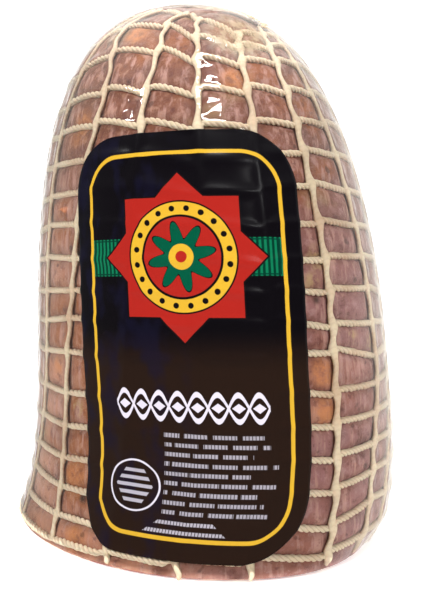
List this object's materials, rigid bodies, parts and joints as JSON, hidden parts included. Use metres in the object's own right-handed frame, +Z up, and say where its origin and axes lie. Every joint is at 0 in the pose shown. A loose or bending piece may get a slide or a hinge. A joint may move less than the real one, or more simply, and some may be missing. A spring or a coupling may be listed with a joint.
{
  "type": "half coppa in elastic net",
  "caption": "Dome-topped half of a cured pork collar standing on its flat cut face, in a stretched elastic net under clear shrunk film, with a tall round-cornered label.",
  "frame": {"origin": "middle of the flat cut face that the piece stands on, under the middle of its box", "axes": "+Z up from the cut face to the domed end, -Y is the front, which carries the label, +X is to the right seen from the front"},
  "size_m": [0.1186, 0.1248, 0.1605],
  "materials": {
    "meat": "moist cured pork, mauve brown to orange brown, glossy under clear film",
    "net": "cream elastic netting, flat knitted lengthwise strands and twisted cross strands",
    "label": "glossy black printed sheet with a gold line and a red, gold and green rosette",
    "film": "clear glossy shrunk film"
  },
  "bodies": {
    "root": {"meat": "meat", "net": "net", "label": "label"}
  },
  "joints": []
}
